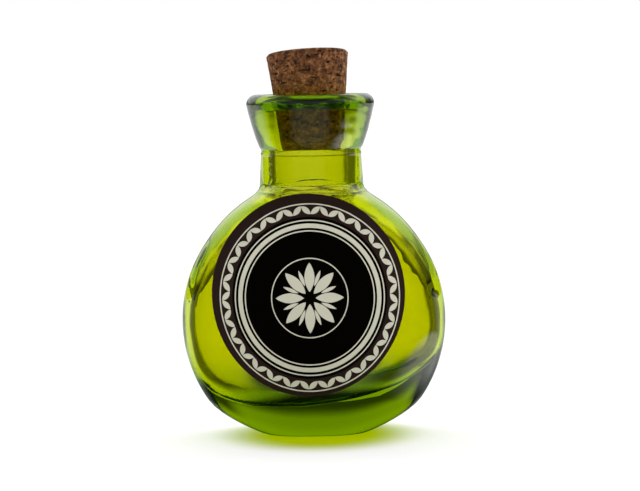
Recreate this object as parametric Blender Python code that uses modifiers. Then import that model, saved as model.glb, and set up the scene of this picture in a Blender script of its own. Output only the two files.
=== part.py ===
"""A small decorative glass flask: a round bottle with flattened faces, a tapered cork and a round paper label.

Units are metres and +Z is up. The origin is at the middle of the flat foot, and the labelled face looks along -Y.
"""

import math

import bmesh
import bpy
from mathutils import Euler, Vector

# Outside of the body, seen from the front: an ellipse whose lowest part the foot cuts off.
BODY_HALF_WIDTH = 0.03765
BODY_HALF_HEIGHT = 0.0386
FOOT_CUT = 0.0066
BODY_CENTRE_HEIGHT = BODY_HALF_HEIGHT - FOOT_CUT

# The rounded corner between the flat foot and the body's sides.
FOOT_HALF_WIDTH = 0.0145
FOOT_HALF_DEPTH = 0.0122
FOOT_CORNER_HEIGHT = 0.0095
FOOT_CORNER_RUN = 0.0060
FOOT_RUN = 0.0010

# Bore: the round way through the neck.
BORE_RADIUS = 0.0106

# Neck: a wall round the bore that stands on the body's top, and the shoulder runs into it in a curve.
NECK_FOOT_RISE = 0.0004
NECK_FOOT_HEIGHT = BODY_CENTRE_HEIGHT + BODY_HALF_HEIGHT + NECK_FOOT_RISE
NECK_LENGTH = 0.0098
NECK_TOP_HEIGHT = NECK_FOOT_HEIGHT + NECK_LENGTH
NECK_WALL = 0.0036
NECK_TOP_RADIUS = BORE_RADIUS + NECK_WALL
NECK_SPREAD = 0.0006
NECK_FOOT_RADIUS = NECK_TOP_RADIUS + NECK_SPREAD
NECK_FOOT_RUN = 0.0045
SHOULDER_DROP = 0.0180
SHOULDER_START_HEIGHT = NECK_FOOT_HEIGHT - SHOULDER_DROP
SHOULDER_RUN = 0.0175

# The flattened faces: rounded up from the foot, and turned in to the neck over a drop below it.
BODY_HALF_DEPTH = 0.0170
FACE_FOOT_ROUNDING = 0.0160
FACE_TOP_DROP = 0.0090
FACE_TOP_HEIGHT = NECK_FOOT_HEIGHT - FACE_TOP_DROP
SHOULDER_SQUARENESS_share = 2.3
FOOT_SQUARENESS_share = 0.9

# Flared collar. Its mouth opens from the bore as a funnel to a narrow land, and the lip is rounded outside.
MOUTH_FLARE = 0.0046
MOUTH_DEPTH = 0.0036
MOUTH_TOP_share = 0.15
MOUTH_FOOT_share = 0.02
LIP_LAND = 0.00034
LIP_OUTER_ROUNDING = 0.0027
COLLAR_RADIUS = BORE_RADIUS + MOUTH_FLARE + LIP_LAND + LIP_OUTER_ROUNDING
COLLAR_HEIGHT = 0.0126
COLLAR_WIDEST_HEIGHT = NECK_TOP_HEIGHT + COLLAR_HEIGHT
LIP_HEIGHT = 0.0030
LIP_TOP_HEIGHT = COLLAR_WIDEST_HEIGHT + LIP_HEIGHT
COLLAR_FLARE_share = 0.73

# Inside of the body: walls, floor, and the shoulder that leads into the bore.
SIDE_WALL = 0.0034
FACE_WALL = 0.0027
FLOOR_HEIGHT = 0.0088
FLOOR_SLANT = math.radians(5.0)
FLOOR_FULLNESS_share = 2.5
BORE_FOOT_DROP = 0.0010
BORE_FOOT_HEIGHT = NECK_FOOT_HEIGHT - BORE_FOOT_DROP
BORE_FOOT_RUN = 0.0040
CAVITY_SHOULDER_DROP = 0.0140
CAVITY_SHOULDER_HEIGHT = BORE_FOOT_HEIGHT - CAVITY_SHOULDER_DROP
CAVITY_SHOULDER_RUN = 0.0090

# Cork: a tapered plug, wider than the bore above and narrower below, that leans against one side of it.
CORK_EXCESS = 0.00105
CORK_TOP_RADIUS = BORE_RADIUS + CORK_EXCESS
CORK_SHORTFALL = 0.00160
CORK_BOTTOM_RADIUS = BORE_RADIUS - CORK_SHORTFALL
CORK_LENGTH = 0.0250
CORK_EDGE = 0.0006
CORK_CROWN = 0.0009
CORK_CLEARANCE = 0.0005
CORK_SEAT_DROP = 0.0020
CORK_LEAN_LEFT = math.radians(2.7)
CORK_LEAN_BACK = math.radians(4.8)

# Label: an oval sheet between the foot of the neck and the body's base, stuck on a little left of the middle.
LABEL_SIDE_MARGIN = 0.0106
LABEL_HALF_WIDTH = BODY_HALF_WIDTH - LABEL_SIDE_MARGIN
LABEL_TOP_MARGIN = 0.0023
LABEL_BOTTOM_HEIGHT = 0.0121
LABEL_HALF_HEIGHT = (NECK_FOOT_HEIGHT - LABEL_TOP_MARGIN - LABEL_BOTTOM_HEIGHT) / 2
LABEL_CENTRE_HEIGHT = LABEL_BOTTOM_HEIGHT + LABEL_HALF_HEIGHT
LABEL_OFFSET = -0.0014
LABEL_THICKNESS = 0.0003
LABEL_GAP = 0.0003

# Facets.
RING_SEGMENTS = 48
FOOT_STEPS = 4
BODY_STEPS = 12
SHOULDER_STEPS = 8
NECK_STEPS = 2
COLLAR_STEPS = 5
LIP_STEPS = 4
MOUTH_STEPS = 4
CAVITY_STEPS = 6
FLOOR_STEPS = 7
CROWN_STEPS = 4
LABEL_RINGS = 16
SHARP_ANGLE = math.radians(35)

GLASS_COLOUR = (0.38, 0.45, 0.01, 1.0)
CORK_COLOUR = (0.20, 0.105, 0.045, 1.0)
LABEL_COLOUR = (0.012, 0.009, 0.006, 1.0)


class Section:
    """One level ring of the glass: a rounded oval at a height."""

    def __init__(self, height, half_width, half_depth, fullness=2.0, slant=0.0):
        self.height = height
        self.half_width = half_width
        self.half_depth = half_depth
        self.fullness = fullness
        self.slant = slant

    def point(self, angle):
        """The ring's point at this angle, where a fullness of 2 is an ellipse and a higher one is squarer."""
        across, deep = math.cos(angle), math.sin(angle)
        power = 2 / self.fullness
        x = self.half_width * math.copysign(abs(across) ** power, across)
        y = self.half_depth * math.copysign(abs(deep) ** power, deep)
        return Vector((x, y, self.height + self.slant * x))


def smooth(share):
    """Eases a share of the way from 0 to 1."""
    share = min(max(share, 0.0), 1.0)
    return share * share * (3 - 2 * share)


def steps(count):
    """Even shares from 0 to 1, both ends included."""
    return [index / count for index in range(count + 1)]


def oval_reach(share, fullness=2.0):
    """How far an oval of unit size reaches at this share of its height."""
    return (1 - min(abs(share), 1.0) ** fullness) ** (1 / fullness)


def bezier(start, start_pull, end_pull, end, share):
    """A point on the cubic curve between two points, each a pair of radius and height."""
    left = 1 - share
    return tuple(
        left**3 * a + 3 * left**2 * share * b + 3 * left * share**2 * c + share**3 * d
        for a, b, c, d in zip(start, start_pull, end_pull, end)
    )


def body_half_width(height):
    return BODY_HALF_WIDTH * oval_reach((height - BODY_CENTRE_HEIGHT) / BODY_HALF_HEIGHT)


def face_half_depth(height, foot_depth, face_depth, neck_depth):
    """Half the depth of the body at a height: rounded up from the foot, flat, then turned in to the neck."""
    if height < FACE_FOOT_ROUNDING:
        return foot_depth + (face_depth - foot_depth) * oval_reach(1 - height / FACE_FOOT_ROUNDING)
    turn = (height - FACE_TOP_HEIGHT) / FACE_TOP_DROP
    return face_depth + (neck_depth - face_depth) * smooth(turn)


def body_fullness(height, half_width, round_from, round_at):
    """Squarer where the body is narrow, so that the whole face bows alike, and round again at the neck."""
    narrowness = 1 - (half_width / BODY_HALF_WIDTH) ** 2
    roundness = smooth((height - round_from) / (round_at - round_from))
    squareness = SHOULDER_SQUARENESS_share if height > BODY_CENTRE_HEIGHT else FOOT_SQUARENESS_share
    return 2 + squareness * narrowness * (1 - roundness)


def body_section(height, half_width):
    half_depth = face_half_depth(height, FOOT_HALF_DEPTH, BODY_HALF_DEPTH, NECK_FOOT_RADIUS)
    fullness = body_fullness(height, half_width, FACE_TOP_HEIGHT, NECK_FOOT_HEIGHT)
    return Section(height, half_width, half_depth, fullness)


def outline_turn(height, half_width, half_height):
    """Where an ellipse about the body's centre is at a height, and the way it runs upwards from there."""
    angle = math.asin((height - BODY_CENTRE_HEIGHT) / half_height)
    place = Vector((half_width * math.cos(angle), height))
    return place, Vector((-half_width * math.sin(angle), half_height * math.cos(angle))).normalized()


def foot_sections():
    """The rounded corner between the flat foot and the body's sides."""
    start = (FOOT_HALF_WIDTH, 0.0)
    start_pull = (FOOT_HALF_WIDTH + FOOT_RUN, 0.0)
    end, along = outline_turn(FOOT_CORNER_HEIGHT, BODY_HALF_WIDTH, BODY_HALF_HEIGHT)
    end_pull = end - along * FOOT_CORNER_RUN
    curve = [bezier(start, start_pull, end_pull, end, share) for share in steps(FOOT_STEPS)[:-1]]
    return [body_section(height, half_width) for half_width, height in curve]


def body_sections():
    """The body from above the foot's corner to the shoulder, at even turns of its outline."""
    first = math.asin((FOOT_CORNER_HEIGHT - BODY_CENTRE_HEIGHT) / BODY_HALF_HEIGHT)
    last = math.asin((SHOULDER_START_HEIGHT - BODY_CENTRE_HEIGHT) / BODY_HALF_HEIGHT)
    sections = []
    for share in steps(BODY_STEPS)[:-1]:
        height = BODY_CENTRE_HEIGHT + BODY_HALF_HEIGHT * math.sin(first + (last - first) * share)
        sections.append(body_section(height, body_half_width(height)))
    return sections


def shoulder_sections():
    """From the shoulder into the foot of the neck, starting along the body's outline."""
    start, along = outline_turn(SHOULDER_START_HEIGHT, BODY_HALF_WIDTH, BODY_HALF_HEIGHT)
    start_pull = start + along * SHOULDER_RUN
    end = (NECK_FOOT_RADIUS, NECK_FOOT_HEIGHT)
    end_pull = (NECK_FOOT_RADIUS, NECK_FOOT_HEIGHT - NECK_FOOT_RUN)
    curve = [bezier(start, start_pull, end_pull, end, share) for share in steps(SHOULDER_STEPS)]
    return [body_section(height, half_width) for half_width, height in curve]


def neck_sections():
    sections = []
    for share in steps(NECK_STEPS)[1:]:
        radius = NECK_FOOT_RADIUS + (NECK_TOP_RADIUS - NECK_FOOT_RADIUS) * share
        sections.append(Section(NECK_FOOT_HEIGHT + NECK_LENGTH * share, radius, radius))
    return sections


def collar_sections():
    """The flare above the neck, quick at first and then gentle, up to the widest ring of the lip."""
    sections = []
    for share in steps(COLLAR_STEPS)[1:]:
        radius = NECK_TOP_RADIUS + (COLLAR_RADIUS - NECK_TOP_RADIUS) * share**COLLAR_FLARE_share
        sections.append(Section(NECK_TOP_HEIGHT + COLLAR_HEIGHT * share, radius, radius))
    return sections


def lip_sections():
    """Over the lip: an outer quarter round, the narrow land, and the funnel of the mouth down to the bore."""
    sections = []
    for share in steps(LIP_STEPS)[1:]:
        turn = math.pi / 2 * share
        radius = COLLAR_RADIUS - LIP_OUTER_ROUNDING * (1 - math.cos(turn))
        sections.append(Section(COLLAR_WIDEST_HEIGHT + LIP_HEIGHT * math.sin(turn), radius, radius))
    start = (BORE_RADIUS + MOUTH_FLARE, LIP_TOP_HEIGHT)
    start_pull = (BORE_RADIUS + MOUTH_FLARE * (1 - MOUTH_TOP_share), LIP_TOP_HEIGHT)
    end = (BORE_RADIUS, LIP_TOP_HEIGHT - MOUTH_DEPTH)
    end_pull = (BORE_RADIUS, LIP_TOP_HEIGHT - MOUTH_DEPTH * (1 - MOUTH_FOOT_share))
    for share in steps(MOUTH_STEPS):
        radius, height = bezier(start, start_pull, end_pull, end, share)
        sections.append(Section(height, radius, radius))
    return sections


def cavity_half_width(height):
    """Half the width of the hollow at a height, with a full, rounded floor."""
    half_width = BODY_HALF_WIDTH - SIDE_WALL
    if height < BODY_CENTRE_HEIGHT:
        share = (BODY_CENTRE_HEIGHT - height) / (BODY_CENTRE_HEIGHT - FLOOR_HEIGHT)
        return half_width * oval_reach(share, FLOOR_FULLNESS_share)
    return half_width * oval_reach((height - BODY_CENTRE_HEIGHT) / (BODY_HALF_HEIGHT - SIDE_WALL))


def cavity_section(height, half_width):
    """A ring of the hollow, slanted near the floor, where the glass has run to one side."""
    face_depth = BODY_HALF_DEPTH - FACE_WALL
    if height < BODY_CENTRE_HEIGHT:
        below = (BODY_CENTRE_HEIGHT - height) / (BODY_CENTRE_HEIGHT - FLOOR_HEIGHT)
        half_depth = face_depth * oval_reach(below, FLOOR_FULLNESS_share)
        return Section(height, half_width, half_depth, 2.0, math.tan(FLOOR_SLANT) * smooth(below))
    turn = (height - CAVITY_SHOULDER_HEIGHT) / CAVITY_SHOULDER_DROP
    half_depth = face_depth + (BORE_RADIUS - face_depth) * smooth(turn)
    fullness = body_fullness(height, half_width, CAVITY_SHOULDER_HEIGHT, BORE_FOOT_HEIGHT)
    return Section(height, half_width, half_depth, fullness)


def cavity_sections():
    """The hollow from the foot of the bore down to the floor."""
    start = (BORE_RADIUS, BORE_FOOT_HEIGHT)
    start_pull = (BORE_RADIUS, BORE_FOOT_HEIGHT - BORE_FOOT_RUN)
    rise = BODY_HALF_HEIGHT - SIDE_WALL
    end, along = outline_turn(CAVITY_SHOULDER_HEIGHT, BODY_HALF_WIDTH - SIDE_WALL, rise)
    end_pull = end + along * CAVITY_SHOULDER_RUN
    curve = [bezier(start, start_pull, end_pull, end, share) for share in steps(SHOULDER_STEPS)]
    sections = [cavity_section(height, half_width) for half_width, height in curve]
    first = math.asin((CAVITY_SHOULDER_HEIGHT - BODY_CENTRE_HEIGHT) / rise)
    for share in steps(CAVITY_STEPS)[1:]:
        height = BODY_CENTRE_HEIGHT + rise * math.sin(first * (1 - share))
        sections.append(cavity_section(height, cavity_half_width(height)))
    for share in steps(FLOOR_STEPS)[1:-1]:
        drop = (BODY_CENTRE_HEIGHT - FLOOR_HEIGHT) * math.sin(math.pi / 2 * share)
        height = BODY_CENTRE_HEIGHT - drop
        sections.append(cavity_section(height, cavity_half_width(height)))
    return sections


def outer_sections():
    return foot_sections() + body_sections() + shoulder_sections() + neck_sections() + collar_sections() + lip_sections()


def front_depth(x, height, sections):
    """How far the front of the body stands from the middle plane, between the two rings around a height."""
    low, high = next(pair for pair in zip(sections, sections[1:]) if height <= pair[1].height)
    share = (height - low.height) / (high.height - low.height)
    half_width = low.half_width + (high.half_width - low.half_width) * share
    half_depth = low.half_depth + (high.half_depth - low.half_depth) * share
    fullness = low.fullness + (high.fullness - low.fullness) * share
    return half_depth * oval_reach(x / half_width, fullness)


def material(name, colour, roughness, transmission=0.0):
    made = bpy.data.materials.new(name)
    made.use_nodes = True
    shader = made.node_tree.nodes["Principled BSDF"]
    shader.inputs["Base Color"].default_value = colour
    shader.inputs["Roughness"].default_value = roughness
    shader.inputs["Metallic"].default_value = 0.0
    shader.inputs["Transmission Weight"].default_value = transmission
    return made


def add_object(name, mesh, collection, finish):
    """Puts a mesh in the scene as one named piece with its own material."""
    piece = bpy.data.objects.new(name, mesh)
    mesh.materials.append(finish)
    collection.objects.link(piece)
    return piece


def loft(name, sections, collection, finish):
    """A closed skin through the sections in order, with a flat face at each end."""
    bm = bmesh.new()
    angles = [2 * math.pi * index / RING_SEGMENTS for index in range(RING_SEGMENTS)]
    rings = [[bm.verts.new(section.point(angle)) for angle in angles] for section in sections]
    for low, high in zip(rings, rings[1:]):
        for index in range(RING_SEGMENTS):
            after = (index + 1) % RING_SEGMENTS
            bm.faces.new((low[index], low[after], high[after], high[index]))
    bm.faces.new(reversed(rings[0]))
    bm.faces.new(rings[-1])
    bmesh.ops.recalc_face_normals(bm, faces=bm.faces)
    mesh = bpy.data.meshes.new(name)
    bm.to_mesh(mesh)
    bm.free()
    mesh.shade_smooth()
    mesh.set_sharp_from_angle(angle=SHARP_ANGLE)
    return add_object(name, mesh, collection, finish)


def add_bottle(collection):
    finish = material("green_glass", GLASS_COLOUR, 0.02, 1.0)
    return loft("glass_bottle", outer_sections() + cavity_sections(), collection, finish)


def cork_profile():
    """Half of the cork's outline as radius and height, from the crown down its outer side to the middle below."""
    side_height = CORK_LENGTH - CORK_CROWN
    points = []
    for share in steps(CROWN_STEPS):
        radius = (CORK_TOP_RADIUS - CORK_EDGE) * math.sin(math.pi / 2 * share)
        points.append((radius, side_height + CORK_CROWN * math.cos(math.pi / 2 * share)))
    points.append((CORK_TOP_RADIUS, side_height - CORK_EDGE))
    points.append((CORK_BOTTOM_RADIUS, CORK_EDGE))
    points.append((CORK_BOTTOM_RADIUS - CORK_EDGE, 0.0))
    points.append((0.0, 0.0))
    return points


def add_cork(collection):
    """The cork, with its origin at the middle of its lower end and its own Z along the way it is drawn."""
    profile = [(radius, 0.0, height) for radius, height in cork_profile()]
    mesh = bpy.data.meshes.new("cork_stopper")
    mesh.from_pydata(profile, [(index, index + 1) for index in range(len(profile) - 1)], [])
    cork = add_object("cork_stopper", mesh, collection, material("cork", CORK_COLOUR, 0.9))
    screw = cork.modifiers.new("turn", "SCREW")
    screw.steps = RING_SEGMENTS
    screw.render_steps = RING_SEGMENTS
    screw.use_merge_vertices = True
    screw.merge_threshold = BORE_RADIUS / 1000
    screw.use_smooth_shade = True
    cork.rotation_euler = cork_lean()
    along = cork_lean().to_matrix() @ Vector((0.0, 0.0, 1.0))
    taper = (CORK_TOP_RADIUS - CORK_BOTTOM_RADIUS) / CORK_LENGTH
    inserted = (CORK_SHORTFALL - CORK_CLEARANCE) / taper
    seat = Vector((0.0, 0.0, LIP_TOP_HEIGHT - CORK_SEAT_DROP))
    cork.location = seat - along * inserted
    return cork


def cork_lean():
    return Euler((-CORK_LEAN_BACK, -CORK_LEAN_LEFT, 0.0))


def add_label(collection):
    """A thin oval sheet, bent to the front face and held off it by the gap."""
    sections = outer_sections()
    bm = bmesh.new()

    def vertex(reach, angle):
        x = LABEL_OFFSET + LABEL_HALF_WIDTH * reach * math.cos(angle)
        height = LABEL_CENTRE_HEIGHT + LABEL_HALF_HEIGHT * reach * math.sin(angle)
        return bm.verts.new((x, -front_depth(x, height, sections), height))

    angles = [2 * math.pi * index / RING_SEGMENTS for index in range(RING_SEGMENTS)]
    rings = [[vertex(reach, angle) for angle in angles] for reach in steps(LABEL_RINGS)[1:]]
    middle = vertex(0.0, 0.0)
    for index in range(RING_SEGMENTS):
        after = (index + 1) % RING_SEGMENTS
        bm.faces.new((middle, rings[0][index], rings[0][after]))
        for inner, outer in zip(rings, rings[1:]):
            bm.faces.new((inner[index], outer[index], outer[after], inner[after]))
    mesh = bpy.data.meshes.new("label")
    bm.to_mesh(mesh)
    bm.free()
    mesh.shade_smooth()
    label = add_object("label", mesh, collection, material("label", LABEL_COLOUR, 0.25))
    lift = label.modifiers.new("gap", "DISPLACE")
    lift.strength = LABEL_GAP
    lift.mid_level = 0.0
    solidify = label.modifiers.new("thickness", "SOLIDIFY")
    solidify.thickness = LABEL_THICKNESS
    solidify.offset = 1.0
    return label


def main():
    for leftover in list(bpy.data.objects):
        bpy.data.objects.remove(leftover)
    collection = bpy.data.collections.new("decorative_glass_bottle")
    bpy.context.scene.collection.children.link(collection)
    add_bottle(collection)
    add_cork(collection)
    add_label(collection)


main()
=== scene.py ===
"""Looks of a small decorative glass flask: fine glass, a pitted cork, and a printed round label.

The frame's sizes are metres, +Z is up and the labelled face looks along -Y.
"""

import math

import bpy
import numpy as np
from mathutils import Euler, Matrix, Vector, noise


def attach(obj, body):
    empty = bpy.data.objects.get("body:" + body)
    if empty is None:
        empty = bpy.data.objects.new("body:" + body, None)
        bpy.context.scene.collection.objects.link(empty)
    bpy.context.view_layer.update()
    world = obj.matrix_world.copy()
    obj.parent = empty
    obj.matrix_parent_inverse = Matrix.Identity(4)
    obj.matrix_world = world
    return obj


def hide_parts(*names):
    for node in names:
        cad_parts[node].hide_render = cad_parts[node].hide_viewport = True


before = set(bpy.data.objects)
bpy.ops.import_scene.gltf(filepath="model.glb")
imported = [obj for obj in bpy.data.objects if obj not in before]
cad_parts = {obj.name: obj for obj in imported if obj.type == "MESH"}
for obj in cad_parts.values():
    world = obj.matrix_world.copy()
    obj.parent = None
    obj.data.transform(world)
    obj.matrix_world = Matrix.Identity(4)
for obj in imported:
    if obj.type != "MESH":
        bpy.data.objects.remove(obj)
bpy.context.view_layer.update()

# The glass, with the same sizes as the solid that it replaces.
BODY_HALF_WIDTH = 0.03765
BODY_HALF_HEIGHT = 0.0386
FOOT_CUT = 0.0066
BODY_CENTRE_HEIGHT = BODY_HALF_HEIGHT - FOOT_CUT
FOOT_HALF_WIDTH = 0.0145
FOOT_HALF_DEPTH = 0.0122
FOOT_CORNER_HEIGHT = 0.0095
FOOT_CORNER_RUN = 0.0060
FOOT_RUN = 0.0010
BORE_RADIUS = 0.0106
NECK_FOOT_RISE = 0.0004
NECK_FOOT_HEIGHT = BODY_CENTRE_HEIGHT + BODY_HALF_HEIGHT + NECK_FOOT_RISE
NECK_LENGTH = 0.0098
NECK_TOP_HEIGHT = NECK_FOOT_HEIGHT + NECK_LENGTH
NECK_WALL = 0.0036
NECK_TOP_RADIUS = BORE_RADIUS + NECK_WALL
NECK_SPREAD = 0.0006
NECK_FOOT_RADIUS = NECK_TOP_RADIUS + NECK_SPREAD
NECK_FOOT_RUN = 0.0045
SHOULDER_DROP = 0.0180
SHOULDER_START_HEIGHT = NECK_FOOT_HEIGHT - SHOULDER_DROP
SHOULDER_RUN = 0.0175
BODY_HALF_DEPTH = 0.0170
FACE_FOOT_ROUNDING = 0.0160
FACE_TOP_DROP = 0.0090
FACE_TOP_HEIGHT = NECK_FOOT_HEIGHT - FACE_TOP_DROP
SHOULDER_SQUARENESS_share = 2.3
FOOT_SQUARENESS_share = 0.9
MOUTH_FLARE = 0.0046
MOUTH_DEPTH = 0.0036
MOUTH_TOP_share = 0.15
MOUTH_FOOT_share = 0.02
LIP_LAND = 0.00034
LIP_OUTER_ROUNDING = 0.0027
COLLAR_RADIUS = BORE_RADIUS + MOUTH_FLARE + LIP_LAND + LIP_OUTER_ROUNDING
COLLAR_HEIGHT = 0.0126
COLLAR_WIDEST_HEIGHT = NECK_TOP_HEIGHT + COLLAR_HEIGHT
LIP_HEIGHT = 0.0030
LIP_TOP_HEIGHT = COLLAR_WIDEST_HEIGHT + LIP_HEIGHT
COLLAR_FLARE_share = 0.73
SIDE_WALL = 0.0034
FACE_WALL = 0.0027
FLOOR_HEIGHT = 0.0088
FLOOR_SLANT = math.radians(5.0)
FLOOR_FULLNESS_share = 2.5
BORE_FOOT_DROP = 0.0010
BORE_FOOT_HEIGHT = NECK_FOOT_HEIGHT - BORE_FOOT_DROP
BORE_FOOT_RUN = 0.0040
CAVITY_SHOULDER_DROP = 0.0140
CAVITY_SHOULDER_HEIGHT = BORE_FOOT_HEIGHT - CAVITY_SHOULDER_DROP
CAVITY_SHOULDER_RUN = 0.0090

# The cork.
CORK_EXCESS = 0.00105
CORK_TOP_RADIUS = BORE_RADIUS + CORK_EXCESS
CORK_SHORTFALL = 0.00160
CORK_BOTTOM_RADIUS = BORE_RADIUS - CORK_SHORTFALL
CORK_LENGTH = 0.0250
CORK_EDGE = 0.0006
CORK_CROWN = 0.0009
CORK_CLEARANCE = 0.0005
CORK_SEAT_DROP = 0.0020
CORK_LEAN_LEFT = math.radians(2.7)
CORK_LEAN_BACK = math.radians(4.8)

# The label, and the print on it.
LABEL_SIDE_MARGIN = 0.0106
LABEL_HALF_WIDTH = BODY_HALF_WIDTH - LABEL_SIDE_MARGIN
LABEL_TOP_MARGIN = 0.0023
LABEL_BOTTOM_HEIGHT = 0.0121
LABEL_HALF_HEIGHT = (NECK_FOOT_HEIGHT - LABEL_TOP_MARGIN - LABEL_BOTTOM_HEIGHT) / 2
LABEL_CENTRE_HEIGHT = LABEL_BOTTOM_HEIGHT + LABEL_HALF_HEIGHT
LABEL_OFFSET = -0.0014
LABEL_LIFT = 0.00006
LABEL_THICKNESS = 0.00020
PRINT_THICKNESS = 0.00002
PRINT_SHIFT = 0.0004
PRINT_CENTRE_X = LABEL_OFFSET + PRINT_SHIFT
PRINT_DROP = 0.0007
PRINT_CENTRE_HEIGHT = LABEL_CENTRE_HEIGHT - PRINT_DROP
PRINT_TALLNESS = 1.045

# The camera, fitted to the photograph.
PHOTO_WIDTH_PX = 640
FOCAL_PX = 2456.0
SENSOR_MM = 36.0
EYE = Vector((0.0021, -0.700, 0.104))
AIM = Vector((0.0021, 0.0, 0.0531))
ROLL = math.radians(-1.0)
CLIP = (0.01, 100.0)

# The counts of facets of the fine surfaces.
GLASS_SEGMENTS = 256
FOOT_STEPS = 16
BODY_STEPS = 70
SHOULDER_STEPS = 80
NECK_STEPS = 56
COLLAR_STEPS = 40
LIP_STEPS = 12
MOUTH_STEPS = 24
BORE_STEPS = 60
CAVITY_SHOULDER_STEPS = 30
CAVITY_STEPS = 40
FLOOR_STEPS = 30


class Section:
    """One level ring of the glass: a rounded oval at a height."""

    def __init__(self, height, half_width, half_depth, fullness=2.0, slant=0.0):
        self.height = height
        self.half_width = half_width
        self.half_depth = half_depth
        self.fullness = fullness
        self.slant = slant

    def points(self, angles):
        """The ring's points at these angles. A fullness of 2 is an ellipse, and a higher one is squarer."""
        across, deep = np.cos(angles), np.sin(angles)
        power = 2 / self.fullness
        x = self.half_width * np.copysign(np.abs(across) ** power, across)
        y = self.half_depth * np.copysign(np.abs(deep) ** power, deep)
        return np.stack([x, y, self.height + self.slant * x], 1)


def smooth(share):
    """Eases a share of the way from 0 to 1."""
    share = min(max(share, 0.0), 1.0)
    return share * share * (3 - 2 * share)


def steps(count):
    """Even shares from 0 to 1, both ends included."""
    return [index / count for index in range(count + 1)]


def oval_reach(share, fullness=2.0):
    """How far an oval of unit size reaches at this share of its height."""
    return (1 - min(abs(share), 1.0) ** fullness) ** (1 / fullness)


def bezier(start, start_pull, end_pull, end, share):
    """A point on the cubic curve between two points, each a pair of radius and height."""
    left = 1 - share
    return tuple(
        left**3 * a + 3 * left**2 * share * b + 3 * left * share**2 * c + share**3 * d
        for a, b, c, d in zip(start, start_pull, end_pull, end)
    )


def body_half_width(height):
    """Half the width of the body at a height."""
    return BODY_HALF_WIDTH * oval_reach((height - BODY_CENTRE_HEIGHT) / BODY_HALF_HEIGHT)


def face_half_depth(height, foot_depth, face_depth, neck_depth):
    """Half the depth of the body at a height: rounded up from the foot, flat, then turned in to the neck."""
    if height < FACE_FOOT_ROUNDING:
        return foot_depth + (face_depth - foot_depth) * oval_reach(1 - height / FACE_FOOT_ROUNDING)
    turn = (height - FACE_TOP_HEIGHT) / FACE_TOP_DROP
    return face_depth + (neck_depth - face_depth) * smooth(turn)


def body_fullness(height, half_width, round_from, round_at):
    """Squarer where the body is narrow, so that the whole face bows alike, and round again at the neck."""
    narrowness = 1 - (half_width / BODY_HALF_WIDTH) ** 2
    roundness = smooth((height - round_from) / (round_at - round_from))
    squareness = SHOULDER_SQUARENESS_share if height > BODY_CENTRE_HEIGHT else FOOT_SQUARENESS_share
    return 2 + squareness * narrowness * (1 - roundness)


def body_section(height, half_width):
    """A ring of the body's outside."""
    half_depth = face_half_depth(height, FOOT_HALF_DEPTH, BODY_HALF_DEPTH, NECK_FOOT_RADIUS)
    fullness = body_fullness(height, half_width, FACE_TOP_HEIGHT, NECK_FOOT_HEIGHT)
    return Section(height, half_width, half_depth, fullness)


def outline_turn(height, half_width, half_height):
    """Where an ellipse about the body's centre is at a height, and the way it runs upwards from there."""
    angle = math.asin((height - BODY_CENTRE_HEIGHT) / half_height)
    place = Vector((half_width * math.cos(angle), height))
    return place, Vector((-half_width * math.sin(angle), half_height * math.cos(angle))).normalized()


def foot_sections():
    """The rounded corner between the flat foot and the body's sides."""
    start = (FOOT_HALF_WIDTH, 0.0)
    start_pull = (FOOT_HALF_WIDTH + FOOT_RUN, 0.0)
    end, along = outline_turn(FOOT_CORNER_HEIGHT, BODY_HALF_WIDTH, BODY_HALF_HEIGHT)
    end_pull = end - along * FOOT_CORNER_RUN
    curve = [bezier(start, start_pull, end_pull, end, share**2) for share in steps(FOOT_STEPS)[:-1]]
    return [body_section(height, half_width) for half_width, height in curve]


def body_sections():
    """The body from above the foot's corner to the shoulder, at even turns of its outline."""
    first = math.asin((FOOT_CORNER_HEIGHT - BODY_CENTRE_HEIGHT) / BODY_HALF_HEIGHT)
    last = math.asin((SHOULDER_START_HEIGHT - BODY_CENTRE_HEIGHT) / BODY_HALF_HEIGHT)
    sections = []
    for share in steps(BODY_STEPS)[:-1]:
        height = BODY_CENTRE_HEIGHT + BODY_HALF_HEIGHT * math.sin(first + (last - first) * share)
        sections.append(body_section(height, body_half_width(height)))
    return sections


def shoulder_sections():
    """From the shoulder into the foot of the neck, starting along the body's outline."""
    start, along = outline_turn(SHOULDER_START_HEIGHT, BODY_HALF_WIDTH, BODY_HALF_HEIGHT)
    start_pull = start + along * SHOULDER_RUN
    end = (NECK_FOOT_RADIUS, NECK_FOOT_HEIGHT)
    end_pull = (NECK_FOOT_RADIUS, NECK_FOOT_HEIGHT - NECK_FOOT_RUN)
    curve = [bezier(start, start_pull, end_pull, end, share) for share in steps(SHOULDER_STEPS)]
    return [body_section(height, half_width) for half_width, height in curve]


def neck_sections():
    """The neck, a little wider at its foot."""
    sections = []
    for share in steps(NECK_STEPS)[1:]:
        radius = NECK_FOOT_RADIUS + (NECK_TOP_RADIUS - NECK_FOOT_RADIUS) * share
        sections.append(Section(NECK_FOOT_HEIGHT + NECK_LENGTH * share, radius, radius))
    return sections


def collar_sections():
    """The flare above the neck, quick at first and then gentle, up to the widest ring of the lip."""
    sections = []
    for share in steps(COLLAR_STEPS)[1:]:
        radius = NECK_TOP_RADIUS + (COLLAR_RADIUS - NECK_TOP_RADIUS) * share**COLLAR_FLARE_share
        sections.append(Section(NECK_TOP_HEIGHT + COLLAR_HEIGHT * share, radius, radius))
    return sections


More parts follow.
